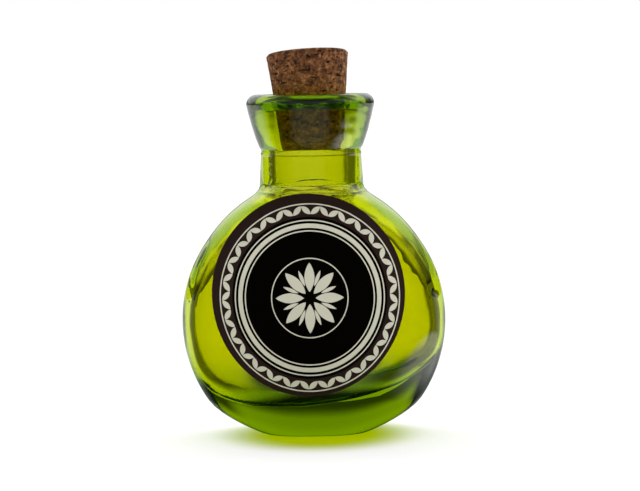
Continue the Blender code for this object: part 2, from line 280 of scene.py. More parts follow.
def lip_sections():
    """Over the lip: an outer quarter round, the narrow land, and the funnel of the mouth down to the bore."""
    sections = []
    for share in steps(LIP_STEPS)[1:]:
        turn = math.pi / 2 * share
        radius = COLLAR_RADIUS - LIP_OUTER_ROUNDING * (1 - math.cos(turn))
        sections.append(Section(COLLAR_WIDEST_HEIGHT + LIP_HEIGHT * math.sin(turn), radius, radius))
    start = (BORE_RADIUS + MOUTH_FLARE, LIP_TOP_HEIGHT)
    start_pull = (BORE_RADIUS + MOUTH_FLARE * (1 - MOUTH_TOP_share), LIP_TOP_HEIGHT)
    end = (BORE_RADIUS, LIP_TOP_HEIGHT - MOUTH_DEPTH)
    end_pull = (BORE_RADIUS, LIP_TOP_HEIGHT - MOUTH_DEPTH * (1 - MOUTH_FOOT_share))
    for share in steps(MOUTH_STEPS):
        radius, height = bezier(start, start_pull, end_pull, end, share)
        sections.append(Section(height, radius, radius))
    return sections


def cavity_half_width(height):
    """Half the width of the hollow at a height, with a full, rounded floor."""
    half_width = BODY_HALF_WIDTH - SIDE_WALL
    if height < BODY_CENTRE_HEIGHT:
        share = (BODY_CENTRE_HEIGHT - height) / (BODY_CENTRE_HEIGHT - FLOOR_HEIGHT)
        return half_width * oval_reach(share, FLOOR_FULLNESS_share)
    return half_width * oval_reach((height - BODY_CENTRE_HEIGHT) / (BODY_HALF_HEIGHT - SIDE_WALL))


def cavity_section(height, half_width):
    """A ring of the hollow, slanted near the floor, where the glass has run to one side."""
    face_depth = BODY_HALF_DEPTH - FACE_WALL
    if height < BODY_CENTRE_HEIGHT:
        below = (BODY_CENTRE_HEIGHT - height) / (BODY_CENTRE_HEIGHT - FLOOR_HEIGHT)
        half_depth = face_depth * oval_reach(below, FLOOR_FULLNESS_share)
        return Section(height, half_width, half_depth, 2.0, math.tan(FLOOR_SLANT) * smooth(below))
    turn = (height - CAVITY_SHOULDER_HEIGHT) / CAVITY_SHOULDER_DROP
    half_depth = face_depth + (BORE_RADIUS - face_depth) * smooth(turn)
    fullness = body_fullness(height, half_width, CAVITY_SHOULDER_HEIGHT, BORE_FOOT_HEIGHT)
    return Section(height, half_width, half_depth, fullness)


def bore_sections():
    """The straight bore, from under the lip down to the foot of the neck."""
    top = LIP_TOP_HEIGHT - MOUTH_DEPTH
    return [
        Section(top + (BORE_FOOT_HEIGHT - top) * share, BORE_RADIUS, BORE_RADIUS)
        for share in steps(BORE_STEPS)[1:-1]
    ]


def cavity_sections():
    """The hollow from the foot of the bore down to the floor."""
    start = (BORE_RADIUS, BORE_FOOT_HEIGHT)
    start_pull = (BORE_RADIUS, BORE_FOOT_HEIGHT - BORE_FOOT_RUN)
    rise = BODY_HALF_HEIGHT - SIDE_WALL
    end, along = outline_turn(CAVITY_SHOULDER_HEIGHT, BODY_HALF_WIDTH - SIDE_WALL, rise)
    end_pull = end + along * CAVITY_SHOULDER_RUN
    curve = [bezier(start, start_pull, end_pull, end, share) for share in steps(CAVITY_SHOULDER_STEPS)]
    sections = [cavity_section(height, half_width) for half_width, height in curve]
    first = math.asin((CAVITY_SHOULDER_HEIGHT - BODY_CENTRE_HEIGHT) / rise)
    for share in steps(CAVITY_STEPS)[1:]:
        height = BODY_CENTRE_HEIGHT + rise * math.sin(first * (1 - share))
        sections.append(cavity_section(height, cavity_half_width(height)))
    for share in steps(FLOOR_STEPS)[1:-1]:
        drop = (BODY_CENTRE_HEIGHT - FLOOR_HEIGHT) * math.sin(math.pi / 2 * share)
        height = BODY_CENTRE_HEIGHT - drop
        sections.append(cavity_section(height, cavity_half_width(height)))
    return sections


FRONT_SECTIONS = foot_sections() + body_sections() + shoulder_sections() + neck_sections()
FRONT_HEIGHTS = [section.height for section in FRONT_SECTIONS]
SLOPE_STEP = BORE_RADIUS / 50


def front_depth(x, height):
    """How far the front of the body stands from the middle plane, between the two rings around a height."""
    above = min(max(int(np.searchsorted(FRONT_HEIGHTS, height)), 1), len(FRONT_HEIGHTS) - 1)
    low, high = FRONT_SECTIONS[above - 1], FRONT_SECTIONS[above]
    share = (height - low.height) / (high.height - low.height)
    half_width = low.half_width + (high.half_width - low.half_width) * share
    half_depth = low.half_depth + (high.half_depth - low.half_depth) * share
    fullness = low.fullness + (high.fullness - low.fullness) * share
    return half_depth * oval_reach(x / half_width, fullness)


def front_point(x, height, lift=0.0):
    """A point of the front face, raised from it by the lift along its normal."""
    step = SLOPE_STEP
    slope_x = (front_depth(x + step, height) - front_depth(x - step, height)) / (2 * step)
    slope_z = (front_depth(x, height + step) - front_depth(x, height - step)) / (2 * step)
    normal = Vector((-slope_x, -1.0, -slope_z)).normalized()
    return Vector((x, -front_depth(x, height), height)) + normal * lift


def add_piece(name, vertices, faces, finish, body, slot, *nodes):
    """A smooth mesh that rides on a body and may stand for nodes of the frame. The slot is not used."""
    mesh = bpy.data.meshes.new(name)
    mesh.from_pydata([tuple(vertex) for vertex in vertices], [], faces)
    mesh.materials.append(finish)
    mesh.validate()
    mesh.shade_smooth()
    piece = bpy.data.objects.new(name, mesh)
    bpy.context.scene.collection.objects.link(piece)
    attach(piece, body)
    if nodes:
        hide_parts(*nodes)
    return piece


def skin_faces(rings, segments):
    """The faces of a closed skin: quads from each ring of points to the next, and a cap at each end."""
    faces = []
    for ring in range(rings - 1):
        for index in range(segments):
            after = (index + 1) % segments
            low, high = ring * segments, (ring + 1) * segments
            faces.append((low + index, low + after, high + after, high + index))
    last = (rings - 1) * segments
    faces.append(tuple(reversed(range(segments))))
    faces.append(tuple(range(last, last + segments)))
    return faces


BLACK = (0.0, 0.0, 0.0, 1.0)
WHITE = (1.0, 1.0, 1.0, 1.0)

# Between the ray depth of a first bounce and that of a second.
FIRST_RAY_DEPTH = 1.5


class Shading:
    """The nodes of a material or a world, with short ways to add more of them."""

    def __init__(self, owner):
        owner.use_nodes = True
        self.nodes = owner.node_tree.nodes
        self.links = owner.node_tree.links
        self.shader = self.nodes.get("Principled BSDF")

    def feed(self, socket, value):
        """Gives a socket a fixed value, or links another node's output to it."""
        if isinstance(value, bpy.types.NodeSocket):
            self.links.new(value, socket)
        else:
            socket.default_value = value

    def fill(self, **inputs):
        """Feeds the main shader's sockets, whose names have spaces where these have underscores."""
        for name, value in inputs.items():
            self.feed(self.shader.inputs[name.replace("_", " ")], value)

    def surface(self, source):
        """Makes a shader the surface of the material."""
        self.links.new(source, self.nodes["Material Output"].inputs["Surface"])

    def added(self, kind, **settings):
        """A new node with these settings."""
        node = self.nodes.new("ShaderNode" + kind)
        for name, value in settings.items():
            setattr(node, name, value)
        return node

    def number(self, operation, *values):
        """A number worked out from others."""
        node = self.added("Math", operation=operation)
        for socket, value in zip(node.inputs, values):
            self.feed(socket, value)
        return node.outputs[0]

    def ramp(self, source, span, ends, curve="SMOOTHSTEP"):
        """A number that eases from one end to the other while the source crosses a span."""
        node = self.added("MapRange", interpolation_type=curve)
        for name, value in zip(("Value", "From Min", "From Max", "To Min", "To Max"), (source, *span, *ends)):
            self.feed(node.inputs[name], value)
        return node.outputs["Result"]

    def blend(self, factor, first, second):
        """A number between two others."""
        node = self.added("Mix")
        for index, value in zip((0, 2, 3), (factor, first, second)):
            self.feed(node.inputs[index], value)
        return node.outputs[0]

    def mixed(self, factor, first, second, kind="MIX"):
        """A colour between two others."""
        node = self.added("Mix", data_type="RGBA", blend_type=kind)
        for index, value in zip((0, 6, 7), (factor, first, second)):
            self.feed(node.inputs[index], value)
        return node.outputs[2]

    def joined(self, factor, first, second):
        """A shader between two others."""
        node = self.added("MixShader")
        for socket, value in zip(node.inputs, (factor, first, second)):
            self.feed(socket, value)
        return node.outputs[0]

    def length(self, vector):
        """The length of a vector."""
        node = self.added("VectorMath", operation="LENGTH")
        self.feed(node.inputs[0], vector)
        return node.outputs["Value"]

    def reach(self, position, centre, halves):
        """How far out a position lies in an oval, where 1 is the oval's edge."""
        node = self.added("Mapping", vector_type="TEXTURE")
        for name, value in zip(("Vector", "Location", "Scale"), (position, centre, halves)):
            self.feed(node.inputs[name], value)
        return self.length(node.outputs[0])

    def parts(self, vector):
        """The three coordinates of a vector."""
        node = self.added("SeparateXYZ")
        self.feed(node.inputs[0], vector)
        return tuple(node.outputs)

    def rays(self):
        """The light path, whether a ray comes from the glass, and whether it is mirrored by its outside."""
        path = self.added("LightPath").outputs
        through = self.number("MAXIMUM", path["Is Transmission Ray"], path["Is Glossy Ray"])
        shallow = self.number("LESS_THAN", path["Ray Depth"], FIRST_RAY_DEPTH)
        return path, through, self.number("MULTIPLY", path["Is Glossy Ray"], shallow)


def plain_material(name, colour, roughness):
    """A finish of one colour all over."""
    made = bpy.data.materials.new(name)
    Shading(made).fill(Base_Color=colour, Roughness=roughness)
    return made


# The finish of the glass. Light that has been mirrored this often inside it goes straight on.
GLASS_TINT = (0.7735, 0.750, 0.02, 1.0)
GLASS_ABSORPTION_COLOUR = (0.855, 0.910, 0.0, 1.0)
GLASS_ABSORPTION_DENSITY = 400.0
GLASS_IOR = 1.52
GLASS_STRAIGHT_TINT = (0.88, 0.90, 0.25, 1.0)
GLASS_MIRRORINGS = 2.5


def glass_material():
    """Clear coloured glass, which plain light and shadows cross without being bent."""
    made = bpy.data.materials.new("green_glass")
    shading = Shading(made)
    shading.fill(Base_Color=GLASS_TINT, Roughness=0.0, IOR=GLASS_IOR, Transmission_Weight=1.0)
    path = shading.added("LightPath").outputs
    plain = shading.number("MAXIMUM", path["Is Shadow Ray"], path["Is Diffuse Ray"])
    trapped = shading.number("GREATER_THAN", path["Glossy Depth"], GLASS_MIRRORINGS)
    clear = shading.added("BsdfTransparent")
    clear.inputs["Color"].default_value = GLASS_STRAIGHT_TINT
    straight = shading.number("MAXIMUM", plain, trapped)
    shading.surface(shading.joined(straight, shading.shader.outputs[0], clear.outputs[0]))
    depth = shading.added("VolumeAbsorption")
    depth.inputs["Color"].default_value = GLASS_ABSORPTION_COLOUR
    depth.inputs["Density"].default_value = GLASS_ABSORPTION_DENSITY
    shading.links.new(depth.outputs[0], shading.nodes["Material Output"].inputs["Volume"])
    return made


# How far the rings of the skins are blended with their neighbours, and the reaches over which an end holds.
BODY_EASE = 0.0030
CAVITY_EASE = 0.0025
END_REACHES = 3
LEAST_GAP = 1e-7

# The marks of the mould: two level rings on the neck, and two seams up it that sway and fade.
UPPER_MARK_DROP = 0.0013
LOWER_MARK_DROP = 0.0021
MARK_HEIGHTS = (NECK_TOP_HEIGHT - UPPER_MARK_DROP, NECK_FOOT_HEIGHT - LOWER_MARK_DROP)
MARK_WIDTH = 0.00028
RING_MARK = 0.00010
SEAM_TURNS = (math.radians(-141), math.radians(14))
SEAM_WIDTH = 0.030
SEAM_SWAY = 0.05
SEAM_MARK = 0.00010
SEAM_MEAN_share = 0.7
SEAM_CHANGE_share = 1.6
SEAM_GRAIN = 0.0011

# The unevenness of the collar's outside, and how fast it starts and ends.
COLLAR_WAVE = 0.00007
COLLAR_WAVE_RUN = 0.011
COLLAR_WAVE_RISE = 0.0022
COLLAR_WAVE_END_share = 1.15
COLLAR_WAVE_STEEPNESS = 4

# Where the walls of the body turn into the neck's, and into the floor's own form.
WALL_ROUND_FROM = 0.055
WALL_FOOT = 0.014
WALL_FOOT_TOP = 0.032

# The waves of the inside, each a height, a length and a seed.
INSIDE_WAVES = ((0.00022, 0.011, 3.0), (0.00006, 0.0035, 7.0))

# The sharpest fold that is shaded as smooth.
SMOOTH_FOLD = math.radians(40)


def eased(values, lengths, reach):
    """The values along a line, each blended with its neighbours within about this reach, the ends kept."""
    values, lengths = np.array(values), np.array(lengths)
    weights = np.exp(-0.5 * ((lengths[:, None] - lengths[None, :]) / reach) ** 2)
    weights *= np.gradient(lengths)[None, :]
    blended = weights @ values / weights.sum(1)
    near_end = np.minimum(lengths - lengths[0], lengths[-1] - lengths) / (END_REACHES * reach)
    kept = np.clip(1 - near_end, 0, 1) ** 2
    return kept * values + (1 - kept) * blended


def eased_sections(sections, reach, *names):
    """The sections with these of their values eased along the skin."""
    places = np.array([(section.half_width, section.height) for section in sections])
    gaps = np.linalg.norm(np.diff(places, axis=0), axis=1)
    lengths = np.concatenate([[0.0], np.cumsum(np.maximum(gaps, LEAST_GAP))])
    for name in names:
        values = eased([getattr(section, name) for section in sections], lengths, reach)
        for section, value in zip(sections, values):
            setattr(section, name, float(value))
    return sections


def outward(rings):
    """The directions straight out of a skin, at each point of its rings, which run up the outside."""
    along = np.gradient(rings, axis=0)
    around = (np.roll(rings, -1, axis=1) - np.roll(rings, 1, axis=1)) / 2
    normals = np.cross(around, along)
    return normals / np.linalg.norm(normals, axis=2, keepdims=True)


def wall_rings(rings):
    """The inner skin of the body, which keeps an even wall behind the outside, thinner on the two faces."""
    normals = outward(rings)
    turn_up = NECK_FOOT_HEIGHT - WALL_ROUND_FROM
    roundness = np.array([smooth((height - WALL_ROUND_FROM) / turn_up) for height in rings[:, 0, 2]])
    facing = normals[:, :, 1] ** 2 * (1 - roundness[:, None])
    wall = FACE_WALL * facing + SIDE_WALL * (1 - facing)
    return rings - normals * wall[:, :, None]


def mould_marks(ring):
    """How far the marks of the mould stand out of the neck at the points of a ring."""
    height = ring[0, 2]
    level = sum(math.exp(-(((height - line) / MARK_WIDTH) ** 2)) for line in MARK_HEIGHTS)
    marks = np.full(len(ring), RING_MARK * level)
    if NECK_FOOT_HEIGHT < height < NECK_TOP_HEIGHT:
        turns = np.arctan2(ring[:, 1], ring[:, 0])
        for seam in SEAM_TURNS:
            sway = SEAM_SWAY * noise.noise(Vector((seam, 0.0, height / SEAM_GRAIN)))
            change = SEAM_CHANGE_share * noise.noise(Vector((0.0, seam, height / SEAM_GRAIN)))
            strength = SEAM_MARK * (SEAM_MEAN_share + change)
            marks += strength * np.exp(-(((turns - seam - sway) / SEAM_WIDTH) ** 2))
    return marks


def collar_waves(ring):
    """The unevenness of the collar's outside, longer round it than up it."""
    rise = (ring[0, 2] - NECK_TOP_HEIGHT) / COLLAR_HEIGHT
    start = smooth(COLLAR_WAVE_STEEPNESS * rise)
    end = smooth(COLLAR_WAVE_STEEPNESS * (COLLAR_WAVE_END_share - rise))
    size = np.array((COLLAR_WAVE_RUN, COLLAR_WAVE_RUN, COLLAR_WAVE_RISE))
    return COLLAR_WAVE * (start * end) * np.array([noise.noise(Vector(point / size)) for point in ring])


def outer_rings(lower, angles):
    """The outside of the glass, up from the foot, over the lip and down the mouth to the bore."""
    sections = lower + neck_sections() + collar_sections() + lip_sections()
    rings = np.array([section.points(angles) for section in sections])
    normals = outward(rings)
    for ring in range(len(lower) // 2, len(rings)):
        lift = mould_marks(rings[ring]) + collar_waves(rings[ring])
        rings[ring] += normals[ring] * lift[:, None]
    return rings


def inner_rings(outside, lower, angles):
    """The bore, then the hollow, which keeps a wall behind the outside and ends in its own floor."""
    shell = wall_rings(outside[: len(lower) + 2])[: len(lower)]
    heights = np.array([section.height for section in lower])
    inside = [section.points(angles) for section in bore_sections()]
    inside += [shell[index] for index in reversed(range(len(lower))) if heights[index] > WALL_FOOT_TOP]
    names = ("half_width", "half_depth", "height", "fullness", "slant")
    for section in eased_sections(cavity_sections(), CAVITY_EASE, *names):
        if section.height > WALL_FOOT_TOP:
            continue
        ring = section.points(angles)
        share = smooth((section.height - WALL_FOOT) / (WALL_FOOT_TOP - WALL_FOOT))
        if share > 0:
            level = np.interp(section.height, heights, np.arange(len(heights)))
            below = min(int(level), len(heights) - 2)
            behind = shell[below] + (shell[below + 1] - shell[below]) * (level - below)
            ring = ring + (behind - ring) * share
        inside.append(ring)
    return np.array(inside)


def waved(rings):
    """The inside with its waves, which calm down towards the collar."""
    normals = outward(rings)
    for ring in range(len(rings)):
        calm = smooth((NECK_TOP_HEIGHT - rings[ring, 0, 2]) / NECK_LENGTH)
        for index, point in enumerate(rings[ring].copy()):
            wave = sum(
                height * noise.noise(Vector(point) / size + Vector((seed, 0.0, 0.0)))
                for height, size, seed in INSIDE_WAVES
            )
            rings[ring, index] = point + normals[ring, index] * wave * calm
    return rings


def add_glass():
    """The bottle as one closed skin, a little uneven inside, as pressed glass is."""
    angles = 2 * np.pi * np.arange(GLASS_SEGMENTS) / GLASS_SEGMENTS
    lower = foot_sections() + body_sections() + shoulder_sections()
    lower = eased_sections(lower, BODY_EASE, "half_depth", "fullness")
    outside = outer_rings(lower, angles)
    inside = waved(inner_rings(outside, lower, angles))
    vertices = np.concatenate([outside.reshape(-1, 3), inside.reshape(-1, 3)])
    faces = skin_faces(len(outside) + len(inside), GLASS_SEGMENTS)
    finish = glass_material()
    piece = add_piece("glass_body", vertices, faces, finish, "bottle", "green_glass", "glass_bottle")
    piece.data.set_sharp_from_angle(angle=SMOOTH_FOLD)


# The finish of the cork.
CORK_DARK = (0.075, 0.028, 0.011, 1.0)
CORK_MIDDLE = (0.165, 0.062, 0.023, 1.0)
CORK_LIGHT = (0.330, 0.150, 0.062, 1.0)
PAINTED_PIT_SHADE = (0.016, 0.006, 0.003, 1.0)
CORK_DULLNESS = 0.9
CORK_SHINE = 0.2
CORK_STOPS = ((0.36, CORK_DARK), (0.50, CORK_MIDDLE), (0.68, CORK_LIGHT))
PATCH_SCALE = 650.0
PATCH_DETAIL = 3.0
PATCH_ROUGHNESS = 0.7
GRAIN_SCALE = 1100.0
GRAIN_share = 0.5
SPECK_SCALE = 2600.0
SPECK_DETAIL = 2.0
SPECK_STOPS = ((0.62, BLACK), (0.72, WHITE))

# The counts of facets of the cork.
CORK_SEGMENTS = 260
CORK_SIDE_STEPS = 120
CORK_END_STEPS = 28

# The pits and cracks of the cork: their sizes, the level of noise that they start from, and their depth.
PIT_SIZE = 0.0010
PIT_FROM = 0.36
PIT_STEEPNESS = 5
CRACK_SIZE = (0.0024, 0.0006)
CRACK_FROM = 0.38
CRACK_STEEPNESS = 7
PIT_DEPTH = 0.00030
CORK_ROUGHNESS = 0.00008
CORK_GRAINS = ((1.0, 300.0), (0.6, 1500.0))


def cork_matrix():
    """The place and lean of the cork, whose side meets the bore at its seat."""
    lean = Euler((-CORK_LEAN_BACK, -CORK_LEAN_LEFT, 0.0)).to_matrix()
    along = lean @ Vector((0.0, 0.0, 1.0))
    taper = (CORK_TOP_RADIUS - CORK_BOTTOM_RADIUS) / CORK_LENGTH
    inserted = (CORK_SHORTFALL - CORK_CLEARANCE) / taper
    seat = Vector((0.0, 0.0, LIP_TOP_HEIGHT - CORK_SEAT_DROP))
    return Matrix.Translation(seat - along * inserted) @ lean.to_4x4()


def cork_profile():
    """Half of the cork's outline as radius and height, from the middle below, up its side, to the crown."""
    side_height = CORK_LENGTH - CORK_CROWN
    points = [((CORK_BOTTOM_RADIUS - CORK_EDGE) * share, 0.0) for share in steps(CORK_END_STEPS)[1:]]
    for share in steps(CORK_SIDE_STEPS):
        radius = CORK_BOTTOM_RADIUS + (CORK_TOP_RADIUS - CORK_BOTTOM_RADIUS) * share
        points.append((radius, CORK_EDGE + (side_height - 2 * CORK_EDGE) * share))
    for share in reversed(steps(CORK_END_STEPS)[1:]):
        radius = (CORK_TOP_RADIUS - CORK_EDGE) * math.sin(math.pi / 2 * share)
        points.append((radius, side_height + CORK_CROWN * math.cos(math.pi / 2 * share)))
    return points


def cork_material():
    """Ground cork: grains of several browns with light specks between them, and painted shade in its pits."""
    made = bpy.data.materials.new("cork")
    shading = Shading(made)
    place = shading.added("TexCoord").outputs["Object"]

    def textured(kind, scale, output, **values):
        node = shading.added(kind)
        for name, value in dict(values, Scale=scale, Vector=place).items():
            shading.feed(node.inputs[name], value)
        return node.outputs[output]

    def coloured(source, stops):
        node = shading.added("ValToRGB")
        while len(node.color_ramp.elements) < len(stops):
            node.color_ramp.elements.new(0.5)
        for element, (position, colour) in zip(node.color_ramp.elements, stops):
            element.position = position
            element.color = colour
        shading.feed(node.inputs["Fac"], source)
        return node.outputs["Color"]

    patches = textured("TexNoise", PATCH_SCALE, "Fac", Detail=PATCH_DETAIL, Roughness=PATCH_ROUGHNESS)
    ground = coloured(patches, CORK_STOPS)
    grains = shading.added("RGBToBW")
    shading.feed(grains.inputs[0], textured("TexVoronoi", GRAIN_SCALE, "Color"))
    ground = shading.mixed(GRAIN_share, ground, grains.outputs[0], "OVERLAY")
    specks = coloured(textured("TexNoise", SPECK_SCALE, "Fac", Detail=SPECK_DETAIL), SPECK_STOPS)
    ground = shading.mixed(specks, ground, CORK_LIGHT)
    # Painted shade: the colour darkens in the pits, as far as they are cut in.
    pits = shading.added("Attribute", attribute_name="pit").outputs["Fac"]
    colour = shading.mixed(pits, ground, PAINTED_PIT_SHADE)
    shading.fill(Base_Color=colour, Roughness=CORK_DULLNESS, Specular_IOR_Level=CORK_SHINE)
    return made


def cork_pit(point):
    """How deep the cork is pitted at a point, from 0 to 1: round pits, and cracks that lie level."""
    flat = Vector((point.x, point.y, 0.0)) / CRACK_SIZE[0] + Vector((0.0, 0.0, point.z / CRACK_SIZE[1]))
    pits = noise.noise(point / PIT_SIZE) - PIT_FROM
    cracks = noise.noise(flat) - CRACK_FROM
    return min(1.0, max(0.0, PIT_STEEPNESS * pits, CRACK_STEEPNESS * cracks))


def add_cork():
    """The stopper, with pits and cracks in its side and a worn rim."""
    profile = cork_profile()
    matrix = cork_matrix()
    vertices, depths = [], []
    for radius, height in profile:
        side = smooth((radius - CORK_BOTTOM_RADIUS / 2) / (CORK_BOTTOM_RADIUS / 2))
        for index in range(CORK_SEGMENTS):
            turn = 2 * math.pi * index / CORK_SEGMENTS
            out = Vector((math.cos(turn), math.sin(turn), 0.0))
            point = out * radius + Vector((0.0, 0.0, height))
            pit = cork_pit(point)
            rough = sum(weight * noise.noise(point * scale) for weight, scale in CORK_GRAINS)
            vertices.append(matrix @ (point + out * (CORK_ROUGHNESS * rough - PIT_DEPTH * pit) * side))
            depths.append(pit)
    faces = skin_faces(len(profile), CORK_SEGMENTS)
    piece = add_piece("cork", vertices, faces, cork_material(), "stopper", "cork", "cork_stopper")
    piece.data.attributes.new("pit", "FLOAT", "POINT").data.foreach_set("value", depths)


# The label's sheet, and what is printed on it, as measured from the photograph and turned into metres.
LABEL_SEGMENTS = 192
LABEL_RINGS = 40
LABEL_PX = 0.0002786
EDGE_RADIUS = 78.0 * LABEL_PX
LABEL_COLOUR = (0.0016, 0.0014, 0.0006, 1.0)
EDGE_COLOUR = (0.0260, 0.0150, 0.0130, 1.0)
LABEL_DULLNESS = 0.22
PRINT_COLOUR = (0.74, 0.72, 0.58, 1.0)
PRINT_DULLNESS = 0.35
BACK_COLOUR = (0.80, 0.80, 0.78, 1.0)
BACK_DULLNESS = 0.6
LINE_RADII_PX = (64.6, 74.7, 90.0)
LINE_HALF_WIDTH = 0.6 * LABEL_PX
BAND_INNER = 67.4 * LABEL_PX
BAND_OUTER = 71.7 * LABEL_PX
BORDER_PAIRS = 29
BORDER_PHASE = math.radians(-4.6)
BORDER_INNER = 80.6 * LABEL_PX
BORDER_OUTER = 88.0 * LABEL_PX
BORDER_LEAF = 5.4 * LABEL_PX

# The counts of steps round a printed ring, and along and across a leaf or a petal.
RING_SEGMENTS = 256
LEAF_STEPS = (10, 4)
PETAL_STEPS = (16, 6)

# The rosette. A petal has an inner radius, an outer radius and a width, and a ring has the two radii.
PETALS = 8
PETAL = (0.0016, 0.0095, 0.0028)
SMALL_PETAL = (0.0034, 0.0080, 0.0010)
ROSETTE_RING = (0.0105, 0.0108)
LEAF_ROUNDNESS = 0.8


def label_material():
    """Dark paper, browner towards its edge than inside the border."""
    made = bpy.data.materials.new("label_paper")
    shading = Shading(made)
    place = shading.added("NewGeometry").outputs["Position"]
    centre = (PRINT_CENTRE_X, 0.0, PRINT_CENTRE_HEIGHT)
    out = shading.reach(place, centre, (EDGE_RADIUS, 1.0, EDGE_RADIUS * PRINT_TALLNESS))
    colour = shading.mixed(shading.number("GREATER_THAN", out, 1.0), LABEL_COLOUR, EDGE_COLOUR)
    shading.fill(Base_Color=colour, Roughness=LABEL_DULLNESS, Specular_IOR_Level=0.0)
    return made


def sheet_faces(rings, segments):
    """The faces of a thin round sheet: its front, its back and the rim between them."""
    faces = []
    side = 1 + rings * segments
    rim = 1 + (rings - 1) * segments
    afters = [(index + 1) % segments for index in range(segments)]
    for base, flip in ((0, False), (side, True)):
        for index, after in enumerate(afters):
            fan = (base, base + 1 + index, base + 1 + after)
            faces.append(fan[::-1] if flip else fan)
            for ring in range(rings - 1):
                inner = base + 1 + ring * segments
                outer = inner + segments
                quad = (inner + index, outer + index, outer + after, inner + after)
                faces.append(quad[::-1] if flip else quad)
    for index, after in enumerate(afters):
        faces.append((rim + index, side + rim + index, side + rim + after, rim + after))
    return faces


def add_label():
    """The label: a thin oval sheet on the front face, dark before and pale behind."""
    vertices = []
    for lift in (LABEL_LIFT + LABEL_THICKNESS, LABEL_LIFT):
        vertices.append(front_point(LABEL_OFFSET, LABEL_CENTRE_HEIGHT, lift))
        for reach in steps(LABEL_RINGS)[1:]:
            for index in range(LABEL_SEGMENTS):
                turn = 2 * math.pi * index / LABEL_SEGMENTS
                x = LABEL_OFFSET + LABEL_HALF_WIDTH * reach * math.cos(turn)
                height = LABEL_CENTRE_HEIGHT + LABEL_HALF_HEIGHT * reach * math.sin(turn)
                vertices.append(front_point(x, height, lift))
    faces = sheet_faces(LABEL_RINGS, LABEL_SEGMENTS)
    piece = add_piece("label_sheet", vertices, faces, label_material(), "bottle", "label", "label")
    piece.data.materials.append(plain_material("label_back", BACK_COLOUR, BACK_DULLNESS))
    half = (len(faces) - LABEL_SEGMENTS) // 2
    for polygon in piece.data.polygons[half : 2 * half]:
        polygon.material_index = 1
    piece.data.set_sharp_from_angle(angle=SMOOTH_FOLD)


class Print:
    """Flat shapes printed on the label, gathered into one mesh that follows the face."""

    def __init__(self):
        self.vertices = []
        self.faces = []

    def patch(self, rows, closed=False):
        """A strip of print through rows of places, each a pair of across and up from the print's middle."""
        lift = LABEL_LIFT + LABEL_THICKNESS + PRINT_THICKNESS
        first = len(self.vertices)
        width = len(rows[0])
        for row in rows:
            for across, up in row:
                self.vertices.append(front_point(PRINT_CENTRE_X + across, PRINT_CENTRE_HEIGHT + up, lift))
        count = len(rows)
        for index in range(count if closed else count - 1):
            after = (index + 1) % count
            for column in range(width - 1):
                low, high = first + index * width + column, first + after * width + column
                self.faces.append((low, low + 1, high + 1, high))

    def ring(self, inner, outer):
        """A flat ring between two radii."""
        rows = []
        for index in range(RING_SEGMENTS):
            turn = 2 * math.pi * index / RING_SEGMENTS
            across, up = math.cos(turn), PRINT_TALLNESS * math.sin(turn)
            rows.append([(radius * across, radius * up) for radius in (inner, outer)])
        self.patch(rows, closed=True)

    def leaf(self, start, end, width, counts=LEAF_STEPS):
        """A lens shape with a point at each end."""
        start, end = Vector(start), Vector(end)
        along = end - start
        across = Vector((-along.y, along.x)).normalized()
        rows = []
        for share in steps(counts[0]):
            half = width / 2 * math.sin(math.pi * share) ** LEAF_ROUNDNESS
            middle = start + along * share
            rows.append([middle + across * half * (2 * column - 1) for column in steps(counts[1])])
        self.patch(rows)

    def polar(self, radius, turn):
        """The place at this radius and this turn, clockwise from the top."""
        return (radius * math.sin(turn), radius * PRINT_TALLNESS * math.cos(turn))


def add_print():
    """The rings, the zigzag of leaves, and a plain rosette in the middle."""
    art = Print()
    for radius in LINE_RADII_PX:
        art.ring(radius * LABEL_PX - LINE_HALF_WIDTH, radius * LABEL_PX + LINE_HALF_WIDTH)
    art.ring(BAND_INNER, BAND_OUTER)
    half = math.pi / BORDER_PAIRS
    for pair in range(BORDER_PAIRS):
        turn = BORDER_PHASE + 2 * math.pi * pair / BORDER_PAIRS
        for side in (-1, 1):
            inner = art.polar(BORDER_INNER, turn + side * half)
            art.leaf(inner, art.polar(BORDER_OUTER, turn), BORDER_LEAF)
    for petal in range(PETALS):
        turn = 2 * math.pi * petal / PETALS
        inner, outer, width = PETAL
        art.leaf(art.polar(inner, turn), art.polar(outer, turn), width, PETAL_STEPS)
        turn += math.pi / PETALS
        inner, outer, width = SMALL_PETAL
        art.leaf(art.polar(inner, turn), art.polar(outer, turn), width)
    art.ring(*ROSETTE_RING)
    finish = plain_material("label_print", PRINT_COLOUR, PRINT_DULLNESS)
    add_piece("label_print", art.vertices, art.faces, finish, "bottle", "label")


# Studio.
def add_camera():
    """The camera, turned to its aim and then rolled."""
    forward = (AIM - EYE).normalized()
    right = forward.cross(Vector((0.0, 0.0, 1.0))).normalized()
    up = right.cross(forward)
    level, tilt = math.cos(ROLL), math.sin(ROLL)
    right, up = right * level + up * tilt, up * level - right * tilt
    data = bpy.data.cameras.new("camera")
    data.sensor_fit = "HORIZONTAL"
    data.sensor_width = SENSOR_MM
    data.lens = SENSOR_MM * FOCAL_PX / PHOTO_WIDTH_PX
    data.clip_start, data.clip_end = CLIP
    camera = bpy.data.objects.new("camera", data)
    rotation = Matrix((right, up, -forward)).transposed()
    camera.matrix_world = Matrix.Translation(EYE) @ rotation.to_4x4()
    bpy.context.scene.collection.objects.link(camera)
    bpy.context.scene.camera = camera


# The floor, and how much of its light is its own for rays from the camera and the glass.
FLOOR_SIZE = 400.0
FLOOR_DROP = 0.0001
FLOOR_SHINE = 0.6
PAPER_COLOUR = (0.96, 0.96, 0.96, 1.0)
